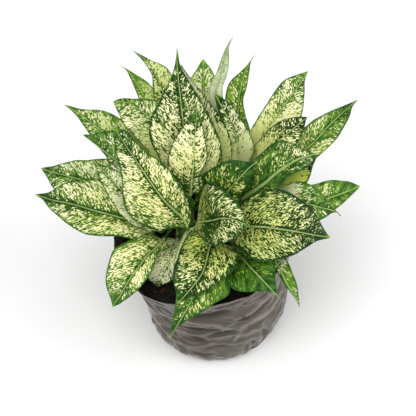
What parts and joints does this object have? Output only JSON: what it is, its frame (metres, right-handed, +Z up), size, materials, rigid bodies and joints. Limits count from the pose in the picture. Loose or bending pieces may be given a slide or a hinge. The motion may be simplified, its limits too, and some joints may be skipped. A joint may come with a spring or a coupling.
{
  "type": "potted chinese evergreen",
  "caption": "Bushy variegated house plant with pointed cream-and-green leaves on short canes, growing in a soft crumpled grow bag filled with potting soil.",
  "frame": {"origin": "centre of the flat bottom of the grow bag, on the surface it stands on", "axes": "+Z up; +X to the right as the picture shows the plant; +Y away from the viewer"},
  "size_m": [0.3325, 0.2506, 0.3159],
  "materials": {
    "bag_film": "thin crumpled dark grey film with a soft sheen",
    "soil": "damp dark crumbly soil with bark bits",
    "cane": "smooth green-brown cane with rings",
    "foliage": "semi-gloss leaf, cream ground speckled and edged in green"
  },
  "bodies": {
    "root": {"grow_bag": "bag_film", "leaf_01": "foliage", "leaf_02": "foliage", "leaf_03": "foliage", "leaf_04": "foliage", "leaf_05": "foliage", "leaf_06": "foliage", "leaf_07": "foliage", "leaf_08": "foliage", "leaf_09": "foliage", "leaf_10": "foliage", "leaf_11": "foliage", "leaf_12": "foliage", "leaf_13": "foliage", "leaf_14": "foliage", "leaf_15": "foliage", "leaf_16": "foliage", "leaf_17": "foliage", "leaf_18": "foliage", "leaf_19": "foliage", "leaf_20": "foliage", "leaf_21": "foliage", "leaf_22": "foliage", "leaf_23": "foliage", "leaf_24": "foliage", "leaf_25": "foliage", "leaf_26": "foliage", "leaf_27": "foliage", "leaf_28": "foliage", "leaf_29": "foliage", "leaf_30": "foliage", "leaf_31": "foliage", "leaf_32": "foliage", "leaf_33": "foliage", "leaf_34": "foliage", "leaf_35": "foliage", "leaf_36": "foliage", "leaf_37": "foliage", "leaf_38": "foliage", "leaf_39": "foliage", "leaf_40": "foliage", "leaf_41": "foliage", "leaf_42": "foliage", "leaf_43": "foliage", "leaf_44": "foliage", "leaf_45": "foliage", "leaf_46": "foliage", "leaf_47": "foliage", "potting_soil": "soil", "stem_a": "cane", "stem_b": "cane", "stem_c": "cane", "stem_d": "cane"}
  },
  "joints": []
}
